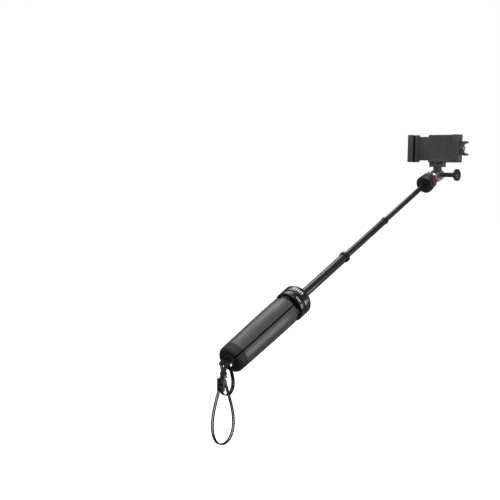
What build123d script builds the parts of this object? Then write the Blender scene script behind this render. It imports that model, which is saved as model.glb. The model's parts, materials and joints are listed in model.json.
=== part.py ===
from build123d import *
import os
from math import cos, hypot, pi, radians, sin, tan

# Selfie stick: a grip made of three folding legs, a three-stage telescopic pole, a ball head and a
# spring clamp for a phone. Millimetres. The origin is on the pole's axis at the middle of the grip.
# +Z is up as the stick is held, the pole leans up towards +X, and the clamp opens along Y.

# ---- driving dimensions --------------------------------------------------------------------------
POLE_TILT = 26.5          # rise of the pole above the horizontal, degrees
BALL_TILT = 5.0           # droop of the ball head from the pole's line, degrees
GRIP_LENGTH = 140.0
STAGE_A_OUT = 106.0       # visible length of each telescopic stage when pulled out
STAGE_B_OUT = 99.0
STAGE_C_OUT = 105.0
COLLAR_R = 19.5
LEG_R = 18.2
TUBE_A_R = 5.7
TUBE_B_R = 4.4
TUBE_C_R = 3.45
BALL_R = 7.0
HINGE_REACH = 25.0        # ball centre to tilt hinge
PHONE_WIDTH = 67.1
PHONE_DEPTH = 7.1
JAW_HEIGHT = 39.0
RUN = 0.05                # radial clearance of a running fit
GAP = 0.3                 # clearance between faces that pass each other
CORD_D = 2.0

# ---- stations along the pole, measured from the origin ---------------------------------------------
GRIP_END = -GRIP_LENGTH / 2
COLLAR_TOP = GRIP_LENGTH / 2
A_TOP = COLLAR_TOP + STAGE_A_OUT
B_TOP = A_TOP + STAGE_B_OUT
HEAD_REAR = B_TOP + STAGE_C_OUT
BALL_AT = HEAD_REAR + 13.5

# ---- directions and planes -------------------------------------------------------------------------
TILT_COS, TILT_SIN = cos(radians(POLE_TILT)), sin(radians(POLE_TILT))
ALONG = Vector(TILT_COS, 0, TILT_SIN)
ACROSS = Vector(0, 1, 0)
ABOVE = Vector(-TILT_SIN, 0, TILT_COS)
POLE_AXIS = Axis((0, 0, 0), ALONG)

HEAD_ANGLE = POLE_TILT - BALL_TILT
HEAD_ALONG = Vector(cos(radians(HEAD_ANGLE)), 0, sin(radians(HEAD_ANGLE)))
BALL_CENTRE = ALONG * BALL_AT
HINGE = BALL_CENTRE + HEAD_ALONG * HINGE_REACH
HEAD_AXIS = Axis(BALL_CENTRE, HEAD_ALONG)
HINGE_AXIS = Axis(HINGE, ACROSS)


def station(distance):
    """Plane square to the pole at a station, with local X along +Y."""
    return Plane(origin=ALONG * distance, x_dir=ACROSS, z_dir=ALONG)


def radial(angle):
    """Direction away from the pole at an angle from +Y towards the pole's upper side."""
    return ACROSS * cos(radians(angle)) + ABOVE * sin(radians(angle))


def pole_section(angle=0.0):
    """Plane holding the pole: local X is the radius at that angle, local Y the station."""
    out = radial(angle)
    return Plane(origin=(0, 0, 0), x_dir=out, z_dir=out.cross(ALONG))


def head_section():
    """Plane holding the head's axis: local X is the radius, local Y the height over the ball."""
    return Plane(origin=BALL_CENTRE, x_dir=ACROSS, z_dir=ACROSS.cross(HEAD_ALONG))


def hinge_section():
    """Plane holding the tilt hinge's axis: local X is the radius, local Y runs along +Y."""
    return Plane(origin=HINGE, x_dir=(0, 0, 1), z_dir=(-1, 0, 0))


def from_hinge(x=0.0, y=0.0, z=0.0):
    """Level plane at a place counted from the tilt hinge, with its axes along the row's."""
    return Plane(origin=HINGE + Vector(x, y, z), x_dir=(1, 0, 0), z_dir=(0, 0, 1))


def save(shape, name):
    """Label a finished piece and write its file."""
    shape.label = name
    export_step(shape, f"parts/{name}.step")


os.makedirs("parts", exist_ok=True)

# ==== grip and collar =================================================================================
CORE_R = 7.0
CORE_BORE = 6.2
LEG_INNER_R = 9.2
PIN_R = 1.5
PIN_OUT = 12.8            # distance of a leg's hinge pin from the pole's axis
PIN_AT = COLLAR_TOP - 27.0
HUB_FOOT = PIN_AT + 5.6   # underside of the hub
HUB_TOP = COLLAR_TOP - 4.0
NECK_R = 14.1
NECK_FOOT = COLLAR_TOP - 14.5
SLEEVE_FOOT = PIN_AT + 4.3
FLANGE_R = 16.5
CORE_TOP = COLLAR_TOP - 21.0
CORE_FOOT = GRIP_END + 5.0
LEG_ANGLES = (90, 210, 330)
LUG_WIDE = 7.0
LUG_R = 3.0

with BuildPart() as core_tube:
    with BuildSketch(station(CORE_FOOT)):
        Circle(CORE_R)
        Circle(CORE_BORE, mode=Mode.SUBTRACT)
    extrude(amount=CORE_TOP - CORE_FOOT)
save(core_tube.part, "core_tube")

with BuildPart() as leg_hub:
    with BuildSketch(pole_section()):
        with BuildLine():
            Polyline(
                (CORE_R, HUB_FOOT),
                (FLANGE_R, HUB_FOOT),
                (FLANGE_R, NECK_FOOT),
                (NECK_R, NECK_FOOT),
                (NECK_R, HUB_TOP),
                (CORE_R, HUB_TOP),
                close=True,
            )
        make_face()
    revolve(axis=POLE_AXIS)
    for angle in LEG_ANGLES:
        with BuildSketch(pole_section(angle)):
            with Locations((PIN_OUT, PIN_AT)):
                Circle(LUG_R)
            with Locations((PIN_OUT, (PIN_AT + HUB_FOOT) / 2)):
                Rectangle(2 * LUG_R, HUB_FOOT - PIN_AT + 0.2)
            with Locations((PIN_OUT, PIN_AT)):
                Circle(PIN_R, mode=Mode.SUBTRACT)
        extrude(amount=LUG_WIDE / 2, both=True)
    with BuildSketch(station(HUB_TOP)):
        with PolarLocations((CORE_R + NECK_R) / 2, 3, start_angle=30):
            Circle(0.8)
    extrude(amount=-7.0, mode=Mode.SUBTRACT)
save(leg_hub.part, "leg_hub")

with BuildPart() as collar_sleeve:
    with BuildSketch(pole_section()):
        with BuildLine():
            Polyline(
                (FLANGE_R, SLEEVE_FOOT),
                (COLLAR_R - 1.0, SLEEVE_FOOT),
                (COLLAR_R, SLEEVE_FOOT + 1.0),
                (COLLAR_R, NECK_FOOT - 0.9),
                (COLLAR_R - 0.5, NECK_FOOT - 0.3),
                (FLANGE_R, NECK_FOOT - 0.3),
                close=True,
            )
        make_face()
    revolve(axis=POLE_AXIS)
save(collar_sleeve.part, "collar_sleeve")

RETAINER_R = 15.3
RETAINER_BORE = 7.4
RETAINER_THICK = 1.0
SCREW_HEAD_R = 1.7
with BuildPart() as ring_retainer:
    with BuildSketch(station(HUB_TOP)):
        Circle(RETAINER_R)
        Circle(RETAINER_BORE, mode=Mode.SUBTRACT)
        with PolarLocations((CORE_R + NECK_R) / 2, 3, start_angle=30):
            Circle(0.8, mode=Mode.SUBTRACT)
    extrude(amount=RETAINER_THICK)
save(ring_retainer.part, "ring_retainer")

with BuildPart() as retainer_screws:
    with BuildSketch(station(HUB_TOP + RETAINER_THICK)):
        with PolarLocations((CORE_R + NECK_R) / 2, 3, start_angle=30):
            Circle(SCREW_HEAD_R)
    extrude(amount=0.4)
    with BuildSketch(station(HUB_TOP + RETAINER_THICK)):
        with PolarLocations((CORE_R + NECK_R) / 2, 3, start_angle=30):
            Circle(0.8)
    extrude(amount=-6.0)
save(retainer_screws.part, "retainer_screws")

# The front ring turns on the hub's neck and squeezes the collet that grips the pole.
RING_TOP_R = 17.0
with BuildPart() as lock_ring:
    with BuildSketch(pole_section()):
        with BuildLine():
            Polyline(
                (NECK_R + RUN, NECK_FOOT + 0.2),
                (COLLAR_R - 0.6, NECK_FOOT + 0.2),
                (COLLAR_R, NECK_FOOT + 0.8),
                (COLLAR_R, COLLAR_TOP - 4.0),
                (RING_TOP_R, COLLAR_TOP - 0.4),
                (RING_TOP_R - 0.4, COLLAR_TOP),
                (CORE_R + 1.0, COLLAR_TOP),
                (CORE_R + 1.0, COLLAR_TOP - 2.3),
                (RETAINER_R + GAP, COLLAR_TOP - 2.3),
                (RETAINER_R + GAP, HUB_TOP - 0.2),
                (NECK_R + RUN, HUB_TOP - 0.2),
                close=True,
            )
        make_face()
    revolve(axis=POLE_AXIS)
save(lock_ring.part, "lock_ring")

COLLET_TOP = COLLAR_TOP - 0.6
with BuildPart() as pole_collet:
    with BuildSketch(station(CORE_TOP + 0.2)):
        Circle(CORE_R - 0.05)
        Circle(TUBE_A_R + RUN, mode=Mode.SUBTRACT)
    extrude(amount=COLLET_TOP - CORE_TOP - 0.2)
    with BuildSketch(station(COLLAR_TOP - 8.0)):
        with PolarLocations(0, 4):
            Rectangle(1.0, 2 * CORE_R + 1)
    extrude(amount=8.0, mode=Mode.SUBTRACT)
save(pole_collet.part, "pole_collet")

with BuildPart() as leg_hinge_pins:
    for angle in LEG_ANGLES:
        with BuildSketch(pole_section(angle)):
            with Locations((PIN_OUT, PIN_AT)):
                Circle(PIN_R)
        extrude(amount=6.0, both=True)
save(leg_hinge_pins.part, "leg_hinge_pins")

# ==== the three legs ====================================================================================
LEG_HALF = 57.0           # half of a leg's share of the circle, degrees
CHANNEL_HALF = 50.0
LEG_WALL = 2.1
LEG_FOOT_R = 17.0
SHELL_FOOT = GRIP_END + 12.0
BARREL_AT = PIN_AT - 30.0
CHEEK_IN = LUG_WIDE / 2 + GAP
CHEEK_THICK = 2.2
LINER_THICK = 1.3
BULKHEAD_AT = PIN_AT - 18.0
NOTCH_DEEP = 3.2


def leg_outline(foot, top, inner, shrink):
    """Points of a leg's half section, from its inner radius to its outer skin less shrink."""
    return (
        (inner, foot),
        (LEG_FOOT_R - shrink, foot),
        (LEG_R - shrink, BARREL_AT),
        (LEG_R - shrink, top),
        (inner, top),
    )


for number, angle in enumerate(LEG_ANGLES, 1):
    with BuildPart() as leg_shell:
        with BuildSketch(pole_section(angle - LEG_HALF)):
            with BuildLine():
                Polyline(*leg_outline(SHELL_FOOT, PIN_AT, LEG_INNER_R, 0), close=True)
            make_face()
        revolve(axis=POLE_AXIS, revolution_arc=2 * LEG_HALF)
        with BuildSketch(pole_section(angle - CHANNEL_HALF)):
            with BuildLine():
                Polyline(
                    *leg_outline(SHELL_FOOT - 1, PIN_AT + 1, LEG_INNER_R - 2, LEG_WALL), close=True
                )
            make_face()
        revolve(axis=POLE_AXIS, revolution_arc=2 * CHANNEL_HALF, mode=Mode.SUBTRACT)
        # two cheeks with rounded tops carry the hinge pin, joined by a bulkhead below them
        for side in (-1, 1):
            out = radial(angle)
            beside = ALONG.cross(out) * (side * CHEEK_IN)
            cheek = Plane(origin=beside, x_dir=out, z_dir=out.cross(ALONG))
            with BuildSketch(cheek):
                with Locations((PIN_OUT, PIN_AT)):
                    Circle(LUG_R + 1.2)
                with Locations(((PIN_OUT + LEG_R - LEG_WALL) / 2 - 1.0, (PIN_AT + BULKHEAD_AT) / 2)):
                    Rectangle(LEG_R - LEG_WALL - PIN_OUT + 2.4, PIN_AT - BULKHEAD_AT)
                with Locations((PIN_OUT, PIN_AT)):
                    Circle(PIN_R + RUN, mode=Mode.SUBTRACT)
            extrude(amount=-side * CHEEK_THICK)
        with BuildSketch(pole_section(angle - CHANNEL_HALF - 1)):
            with Locations(((LEG_INNER_R + LEG_R) / 2 + 1.0, BULKHEAD_AT)):
                Rectangle(LEG_R - LEG_INNER_R - 3.0, 2.0)
        revolve(axis=POLE_AXIS, revolution_arc=2 * CHANNEL_HALF + 2)
        # a notch lets the shell swing past the hub's lug
        with BuildSketch(Plane(origin=ALONG * (PIN_AT + 1) + radial(angle) * LEG_R,
                               x_dir=ALONG.cross(radial(angle)), z_dir=ALONG)):
            Rectangle(2 * CHEEK_IN, 2 * (LEG_R - PIN_OUT) - 1.0)
        extrude(amount=-NOTCH_DEEP - 1, mode=Mode.SUBTRACT)
    save(leg_shell.part, f"leg_{number}_shell")

    with BuildPart() as leg_liner:
        with BuildSketch(pole_section(angle - CHANNEL_HALF + 1)):
            with Locations((LEG_INNER_R + LINER_THICK / 2 + 0.1, (SHELL_FOOT + BULKHEAD_AT) / 2)):
                Rectangle(LINER_THICK, BULKHEAD_AT - SHELL_FOOT - 4.0)
        revolve(axis=POLE_AXIS, revolution_arc=2 * CHANNEL_HALF - 2)
        fillet(leg_liner.edges().filter_by(GeomType.LINE).group_by(SortBy.LENGTH)[-1], 0.4)
    save(leg_liner.part, f"leg_{number}_liner")

    with BuildPart() as leg_foot:
        with BuildSketch(pole_section(angle - LEG_HALF)):
            with BuildLine():
                Polyline(
                    (LEG_INNER_R, GRIP_END),
                    (LEG_FOOT_R - 2.5, GRIP_END),
                    (LEG_FOOT_R - 0.4, GRIP_END + 3.0),
                    (LEG_FOOT_R, SHELL_FOOT - 0.1),
                    (LEG_INNER_R, SHELL_FOOT - 0.1),
                    close=True,
                )
            make_face()
        revolve(axis=POLE_AXIS, revolution_arc=2 * LEG_HALF)
        with BuildSketch(pole_section(angle - CHANNEL_HALF + 4)):
            with Locations((LEG_INNER_R + 3.6, SHELL_FOOT + 3.0)):
                Rectangle(3.2, 6.4)
        revolve(axis=POLE_AXIS, revolution_arc=2 * CHANNEL_HALF - 8)
    save(leg_foot.part, f"leg_{number}_foot")

# ==== end cap and wrist strap ===========================================================================
CAP_R = 8.6
EAR_GAP = 12.6
EAR_THICK = 1.8
STRAP_PIN_R = 1.25
EYE_AT = GRIP_END - 6.5
with BuildPart() as core_end_cap:
    with BuildSketch(pole_section()):
        with BuildLine():
            Polyline(
                (0, GRIP_END - 0.5),
                (CAP_R - 0.8, GRIP_END - 0.5),
                (CAP_R, GRIP_END + 0.5),
                (CAP_R, CORE_FOOT - 0.1),
                (CORE_BORE - 0.02, CORE_FOOT - 0.1),
                (CORE_BORE - 0.02, CORE_FOOT + 2.0),
                (0, CORE_FOOT + 2.0),
                close=True,
            )
        make_face()
    revolve(axis=POLE_AXIS)
    for side in (-1, 1):
        ear = Plane(origin=ACROSS * (side * EAR_GAP / 2), x_dir=ABOVE, z_dir=ABOVE.cross(ALONG))
        with BuildSketch(ear):
            with Locations((0, EYE_AT)):
                Circle(2.6)
            with Locations((0, (EYE_AT + GRIP_END) / 2)):
                Rectangle(5.2, GRIP_END - EYE_AT)
            with Locations((0, EYE_AT)):
                Circle(STRAP_PIN_R, mode=Mode.SUBTRACT)
        extrude(amount=side * EAR_THICK)
save(core_end_cap.part, "core_end_cap")

EYE = ALONG * EYE_AT
with BuildPart() as strap_pin:
    with BuildSketch(Plane(origin=EYE, x_dir=(1, 0, 0), z_dir=(0, 1, 0))):
        Circle(STRAP_PIN_R)
    extrude(amount=EAR_GAP / 2 + EAR_THICK, both=True)
save(strap_pin.part, "strap_pin")


def strap_plane(y):
    """Upright plane through the strap pin at one Y: local X is +X and local Y is +Z."""
    return Plane(origin=Vector(EYE.X, y, EYE.Z), x_dir=(1, 0, 0), z_dir=(0, -1, 0))


def route_radii(points):
    """Largest arc each corner's two runs allow: 0.45 of the shorter, over tan of half the turn."""
    radii = []
    for before, corner, after in zip(points, points[1:], points[2:]):
        run_in = (corner[0] - before[0], corner[1] - before[1])
        run_out = (after[0] - corner[0], after[1] - corner[1])
        turn = abs(Vector(*run_in, 0).get_angle(Vector(*run_out, 0)))
        shorter = min(hypot(*run_in), hypot(*run_out))
        radii.append(0.45 * shorter / tan(radians(turn / 2)))
    return radii


# The wrist loop: two cords side by side, over the pin, down through the crimp and round the loop.
# Points are (X, Z) from the strap pin.
CORD_ROUTE = [
    (1.2, -13.0),
    (1.5, -9.0),
    (2.9, -4.5),
    (3.6, 0.4),
    (1.7, 3.6),
    (-1.7, 3.6),
    (-3.6, 0.4),
    (-2.9, -4.5),
    (-1.5, -9.5),
    (-2.0, -16.5),
    (-6.5, -28.0),
    (-12.5, -43.0),
    (-17.0, -60.0),
    (-17.0, -77.0),
    (-10.0, -89.5),
    (2.0, -93.5),
    (13.5, -88.0),
    (19.0, -75.0),
    (17.5, -58.5),
    (12.0, -43.0),
    (6.0, -29.0),
    (2.2, -18.0),
]
CORD_Y = {"wrist_cord_inner": 2.0, "wrist_cord_outer": 4.6}
CRIMP_TALL = 7.0
CRIMP_AT = -13.0
for name, y in CORD_Y.items():
    with BuildPart() as wrist_cord:
        with BuildLine(strap_plane(y)) as cord_line:
            FilletPolyline(*CORD_ROUTE, radius=route_radii(CORD_ROUTE))
        cord_path = cord_line.wire()
        with BuildSketch(Plane(origin=cord_path @ 0, z_dir=cord_path % 0)):
            Circle(CORD_D / 2)
        sweep(path=cord_path)
    save(wrist_cord.part, name)
    tube_volume = pi * (CORD_D / 2) ** 2 * cord_path.length
    print(name, "length", round(cord_path.length, 1), "volume over section times length",
          round(wrist_cord.part.volume / tube_volume, 4))
print("cord radii", [round(radius, 1) for radius in route_radii(CORD_ROUTE)])

with BuildPart() as cord_crimp:
    with BuildSketch(Plane(origin=EYE + Vector(0, 3.3, CRIMP_AT - CRIMP_TALL / 2))):
        RectangleRounded(7.4, 7.4, 1.8)
    extrude(amount=CRIMP_TALL)
save(cord_crimp.part, "cord_crimp")

# The webbing tab: one flat strap over the pin, hanging in a U, its ends sewn together on the left.
WEB_WIDE = 5.6
WEB_THICK = 1.0
WEB_Y = -3.3
WEB_ROUTE = [
    (-7.6, -9.5),
    (-4.6, -4.5),
    (-2.9, -0.5),
    (-1.6, 2.5),
    (1.6, 2.5),
    (2.9, -0.5),
    (5.0, -6.5),
    (8.0, -14.0),
    (9.6, -22.5),
    (7.6, -30.8),
    (0.6, -35.4),
    (-7.2, -33.6),
    (-11.4, -27.0),
    (-10.8, -18.5),
    (-8.3, -10.8),
]
with BuildPart() as strap_webbing:
    with BuildLine(strap_plane(WEB_Y)) as web_line:
        FilletPolyline(*WEB_ROUTE, radius=route_radii(WEB_ROUTE))
    web_path = web_line.wire()
    with BuildSketch(Plane(origin=web_path @ 0, x_dir=ACROSS, z_dir=web_path % 0)):
        Rectangle(WEB_WIDE, WEB_THICK)
    sweep(path=web_path)
save(strap_webbing.part, "strap_webbing")
web_volume = WEB_WIDE * WEB_THICK * web_path.length
print("strap_webbing length", round(web_path.length, 1), "volume over section times length",
      round(strap_webbing.part.volume / web_volume, 4))
print("webbing radii", [round(radius, 1) for radius in route_radii(WEB_ROUTE)])

# The buckle is a flat ladder frame that the webbing's left leg threads through.
BUCKLE_TALL = 15.0
BUCKLE_WIDE = 9.4
BUCKLE_THICK = 3.4
BUCKLE_AT = (-11.0, -21.5)
with BuildPart() as strap_buckle:
    with BuildSketch(Plane(origin=EYE + Vector(BUCKLE_AT[0], WEB_Y, BUCKLE_AT[1]),
                           x_dir=(0, 1, 0), z_dir=(1, 0, 0))):
        RectangleRounded(BUCKLE_WIDE, BUCKLE_TALL, 1.6)
        with GridLocations(0, 4.4, 1, 3):
            SlotOverall(6.2, 2.0, mode=Mode.SUBTRACT)
    extrude(amount=BUCKLE_THICK / 2, both=True)
save(strap_buckle.part, "strap_buckle")

# ==== telescopic stages =================================================================================
STAGE_A_FOOT = A_TOP - 132.0
STAGE_B_FOOT = B_TOP - 123.0
STAGE_C_FOOT = B_TOP - 25.0
TUBE_C_TOP = HEAD_REAR + 5.0
TUBE_WALL = 0.6


def ring(low, inner, outer):
    """Flat ring round the pole at a station, to be extruded into a sleeve."""
    with BuildSketch(station(low)) as outline:
        Circle(outer)
        Circle(inner, mode=Mode.SUBTRACT)
    return outline.sketch


with BuildPart() as tube_a:
    extrude(ring(STAGE_A_FOOT, TUBE_A_R - TUBE_WALL, TUBE_A_R), amount=A_TOP - 1.0 - STAGE_A_FOOT)
save(tube_a.part, "tube_a")

with BuildPart() as shoe_a:
    extrude(ring(STAGE_A_FOOT, TUBE_A_R, CORE_BORE - RUN), amount=CORE_TOP - 0.1 - STAGE_A_FOOT)
save(shoe_a.part, "shoe_a")

FLANGE_A_R = 7.2
BUSH_LONG = 8.0
with BuildPart() as flange_a:
    with BuildSketch(pole_section()):
        with BuildLine():
            Polyline(
                (TUBE_A_R, A_TOP - 6.0),
                (FLANGE_A_R - 0.5, A_TOP - 6.0),
                (FLANGE_A_R, A_TOP - 5.4),
                (FLANGE_A_R, A_TOP - 1.6),
                (FLANGE_A_R - 1.4, A_TOP),
                (TUBE_B_R + RUN, A_TOP),
                (TUBE_B_R + RUN, A_TOP - BUSH_LONG),
                (TUBE_A_R - TUBE_WALL, A_TOP - BUSH_LONG),
                (TUBE_A_R - TUBE_WALL, A_TOP - 1.0),
                (TUBE_A_R, A_TOP - 1.0),
                close=True,
            )
        make_face()
    revolve(axis=POLE_AXIS)
save(flange_a.part, "flange_a")

with BuildPart() as tube_b:
    extrude(ring(STAGE_B_FOOT, TUBE_B_R - TUBE_WALL + 0.1, TUBE_B_R), amount=B_TOP - 1.0 - STAGE_B_FOOT)
save(tube_b.part, "tube_b")

with BuildPart() as shoe_b:
    extrude(ring(STAGE_B_FOOT, TUBE_B_R, TUBE_A_R - TUBE_WALL - RUN),
            amount=A_TOP - BUSH_LONG - 0.1 - STAGE_B_FOOT)
save(shoe_b.part, "shoe_b")

LIP_B_R = 5.0
TUBE_B_BORE = TUBE_B_R - TUBE_WALL + 0.1
with BuildPart() as lip_b:
    with BuildSketch(pole_section()):
        with BuildLine():
            Polyline(
                (TUBE_B_R, B_TOP - 4.6),
                (LIP_B_R - 0.2, B_TOP - 4.6),
                (LIP_B_R, B_TOP - 4.2),
                (LIP_B_R, B_TOP - 1.0),
                (LIP_B_R - 0.8, B_TOP),
                (TUBE_C_R + RUN, B_TOP),
                (TUBE_C_R + RUN, B_TOP - BUSH_LONG - 4.0),
                (TUBE_B_BORE, B_TOP - BUSH_LONG - 4.0),
                (TUBE_B_BORE, B_TOP - 1.0),
                (TUBE_B_R, B_TOP - 1.0),
                close=True,
            )
        make_face()
    revolve(axis=POLE_AXIS)
save(lip_b.part, "lip_b")

with BuildPart() as tube_c:
    extrude(ring(STAGE_C_FOOT, TUBE_C_R - TUBE_WALL, TUBE_C_R), amount=TUBE_C_TOP - STAGE_C_FOOT)
save(tube_c.part, "tube_c")

with BuildPart() as shoe_c:
    extrude(ring(STAGE_C_FOOT, TUBE_C_R, TUBE_B_BORE - RUN), amount=B_TOP - BUSH_LONG - 4.1 - STAGE_C_FOOT)
save(shoe_c.part, "shoe_c")

# ==== ball head =========================================================================================
CUP_R = 9.6
SEAT_R = BALL_R + RUN
CUP_TOP = BALL_AT - 0.4
HEAD_COLLAR_R = 12.6
RED_RING_R = 11.6
RING_FOOT = HEAD_REAR + 9.9
CAP_HIGH = 4.0            # height of the cap over the ball's centre
NECK_BALL_R = 3.6
CAP_MOUTH = 6.7

with BuildPart() as head_cup:
    with BuildSketch(pole_section()):
        with BuildLine():
            Polyline(
                (0, TUBE_C_TOP),
                (TUBE_C_R, TUBE_C_TOP),
                (TUBE_C_R, HEAD_REAR + 2.2),
                (CUP_R, HEAD_REAR + 2.2),
                (CUP_R, CUP_TOP),
                (0, CUP_TOP),
                close=True,
            )
        make_face()
        with Locations((0, BALL_AT)):
            Circle(SEAT_R, mode=Mode.SUBTRACT)
        with Locations((-CUP_R, BALL_AT)):
            Rectangle(2 * CUP_R, 4 * CUP_R, mode=Mode.SUBTRACT)
    revolve(axis=POLE_AXIS)
save(head_cup.part, "head_cup")

FLUTES = 24
with BuildPart() as head_collar:
    with BuildSketch(pole_section()):
        with BuildLine():
            Polyline(
                (TUBE_C_R + GAP, HEAD_REAR),
                (HEAD_COLLAR_R - 0.8, HEAD_REAR),
                (HEAD_COLLAR_R, HEAD_REAR + 0.8),
                (HEAD_COLLAR_R, HEAD_REAR + 6.2),
                (HEAD_COLLAR_R - 1.0, HEAD_REAR + 9.6),
                (CUP_R + RUN, HEAD_REAR + 9.6),
                (CUP_R + RUN, HEAD_REAR + 1.9),
                (TUBE_C_R + GAP, HEAD_REAR + 1.9),
                close=True,
            )
        make_face()
    revolve(axis=POLE_AXIS)
    with BuildSketch(station(HEAD_REAR + 1.2)):
        with PolarLocations(HEAD_COLLAR_R + 0.35, FLUTES):
            Circle(0.9)
    extrude(amount=5.4, mode=Mode.SUBTRACT)
save(head_collar.part, "head_collar")

with BuildPart() as red_ring_lower:
    extrude(ring(RING_FOOT, CUP_R, RED_RING_R), amount=CUP_TOP - 0.5 - RING_FOOT)
save(red_ring_lower.part, "red_ring_lower")

CAP_RIM_R = 9.8
with BuildPart() as pan_cap:
    with BuildSketch(pole_section()):
        with BuildLine():
            Polyline(
                (0, BALL_AT),
                (CAP_RIM_R, BALL_AT),
                (CAP_RIM_R, BALL_AT + CAP_HIGH - 1.2),
                (CAP_RIM_R - 1.2, BALL_AT + CAP_HIGH),
                (CAP_MOUTH + 0.4, BALL_AT + CAP_HIGH),
                (CAP_MOUTH - 0.5, BALL_AT + CAP_HIGH - 1.0),
                (0, BALL_AT + CAP_HIGH - 1.0),
                close=True,
            )
        make_face()
        with Locations((0, BALL_AT)):
            Circle(SEAT_R, mode=Mode.SUBTRACT)
        with Locations((-CUP_R, BALL_AT)):
            Rectangle(2 * CUP_R, 4 * CUP_R, mode=Mode.SUBTRACT)
    revolve(axis=POLE_AXIS)
    # the drop notch, on the side the head leans to
    with BuildSketch(station(BALL_AT + 0.9)):
        with Locations((0, -CUP_R)):
            Rectangle(2 * NECK_BALL_R + 0.8, 2 * CUP_R)
    extrude(amount=CAP_HIGH, mode=Mode.SUBTRACT)
save(pan_cap.part, "pan_cap")

with BuildPart() as red_ring_upper:
    extrude(ring(BALL_AT - 0.2, CAP_RIM_R, RED_RING_R), amount=2.6)
    with BuildSketch(station(BALL_AT + 0.9)):
        with Locations((0, -CUP_R)):
            Rectangle(2 * NECK_BALL_R + 0.8, 2 * CUP_R)
    extrude(amount=CAP_HIGH, mode=Mode.SUBTRACT)
save(red_ring_upper.part, "red_ring_upper")

BASE_LOW = 10.5
BASE_HIGH = 14.0
FORK_R = 8.0
EAR_R = 6.2
TONGUE_HALF = 4.5
EAR_IN = TONGUE_HALF + 0.25
EAR_OUT = 7.9
BOLT_R = 2.5
NECK_TOP = BASE_HIGH - 0.5

with BuildPart() as tilt_ball:
    with BuildSketch(head_section()):
        with BuildLine():
            Line((0, -BALL_R), (0, NECK_TOP))
            Line((0, NECK_TOP), (NECK_BALL_R, NECK_TOP))
            neck_foot = (BALL_R ** 2 - NECK_BALL_R ** 2) ** 0.5
            Line((NECK_BALL_R, NECK_TOP), (NECK_BALL_R, neck_foot))
            ThreePointArc((NECK_BALL_R, neck_foot), (BALL_R, 0), (0, -BALL_R))
        make_face()
    revolve(axis=HEAD_AXIS)
save(tilt_ball.part, "tilt_ball")

with BuildPart() as tilt_fork:
    base = Plane(origin=BALL_CENTRE + HEAD_ALONG * BASE_LOW, x_dir=ACROSS, z_dir=HEAD_ALONG)
    with BuildSketch(base):
        Circle(FORK_R)
    extrude(amount=BASE_HIGH - BASE_LOW)
    chamfer(tilt_fork.edges().group_by(Axis(BALL_CENTRE, HEAD_ALONG))[0], 0.8)
    for side in (-1, 1):
        ear = Plane(origin=BALL_CENTRE + ACROSS * (side * EAR_IN), x_dir=ACROSS.cross(HEAD_ALONG),
                    z_dir=ACROSS)
        with BuildSketch(ear):
            with Locations((0, -HINGE_REACH)):
                Circle(EAR_R)
            with Locations((0, -(HINGE_REACH + BASE_HIGH - 1) / 2)):
                Rectangle(2 * EAR_R, HINGE_REACH - BASE_HIGH + 1)
        extrude(amount=side * (EAR_OUT - EAR_IN))
    with BuildSketch(Plane(origin=HINGE, x_dir=(1, 0, 0), z_dir=(0, 1, 0))):
        Circle(BOLT_R + RUN)
    extrude(amount=EAR_OUT + 1, both=True, mode=Mode.SUBTRACT)
    with BuildSketch(base):
        Circle(NECK_BALL_R)
    extrude(amount=NECK_TOP - BASE_LOW, mode=Mode.SUBTRACT)
save(tilt_fork.part, "tilt_fork")

NUT_THICK = 3.2
with BuildPart() as tilt_nut:
    with BuildSketch(Plane(origin=HINGE + ACROSS * (EAR_OUT + NUT_THICK), x_dir=(1, 0, 0),
                           z_dir=(0, 1, 0))):
        RegularPolygon(4.6, 6)
        Circle(BOLT_R + RUN, mode=Mode.SUBTRACT)
    extrude(amount=NUT_THICK)
    chamfer(tilt_nut.faces().sort_by(Axis.Y)[0].outer_wire().edges(), 0.35)
save(tilt_nut.part, "tilt_nut")

STEM_R = 3.25
STEM_END = -30.3
KNOB_R = 8.0
with BuildPart() as tilt_screw:
    with BuildSketch(hinge_section()):
        with BuildLine():
            Polyline(
                (0, EAR_OUT + NUT_THICK + 0.6),
                (BOLT_R - 0.4, EAR_OUT + NUT_THICK + 0.6),
                (BOLT_R, EAR_OUT + NUT_THICK + 0.2),
                (BOLT_R, -EAR_OUT - 0.1),
                (STEM_R, -EAR_OUT - 0.1),
                (STEM_R, STEM_END),
                (0, STEM_END),
                close=True,
            )
        make_face()
    revolve(axis=HINGE_AXIS)
save(tilt_screw.part, "tilt_screw")

KNOB_FACE = STEM_END - 3.8
FLUTES = 18
with BuildPart() as tilt_knob:
    with BuildSketch(hinge_section()):
        with BuildLine():
            Polyline(
                (STEM_R, STEM_END + 4.5),
                (STEM_R + 0.5, STEM_END + 4.5),
                (STEM_R + 1.4, STEM_END + 2.4),
                (KNOB_R - 0.8, STEM_END + 1.0),
                (KNOB_R, STEM_END + 0.2),
                (KNOB_R, KNOB_FACE + 1.0),
                (KNOB_R - 1.0, KNOB_FACE),
                (KNOB_R - 3.0, KNOB_FACE - 0.7),
                (0, KNOB_FACE - 0.7),
                (0, STEM_END),
                (STEM_R, STEM_END),
                close=True,
            )
        make_face()
    revolve(axis=HINGE_AXIS)
    with BuildSketch(Plane(origin=HINGE + ACROSS * (STEM_END + 2), x_dir=(1, 0, 0), z_dir=(0, -1, 0))):
        with PolarLocations(KNOB_R + 0.3, FLUTES):
            Circle(0.65)
    extrude(amount=7.0, mode=Mode.SUBTRACT)
save(tilt_knob.part, "tilt_knob")

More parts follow.
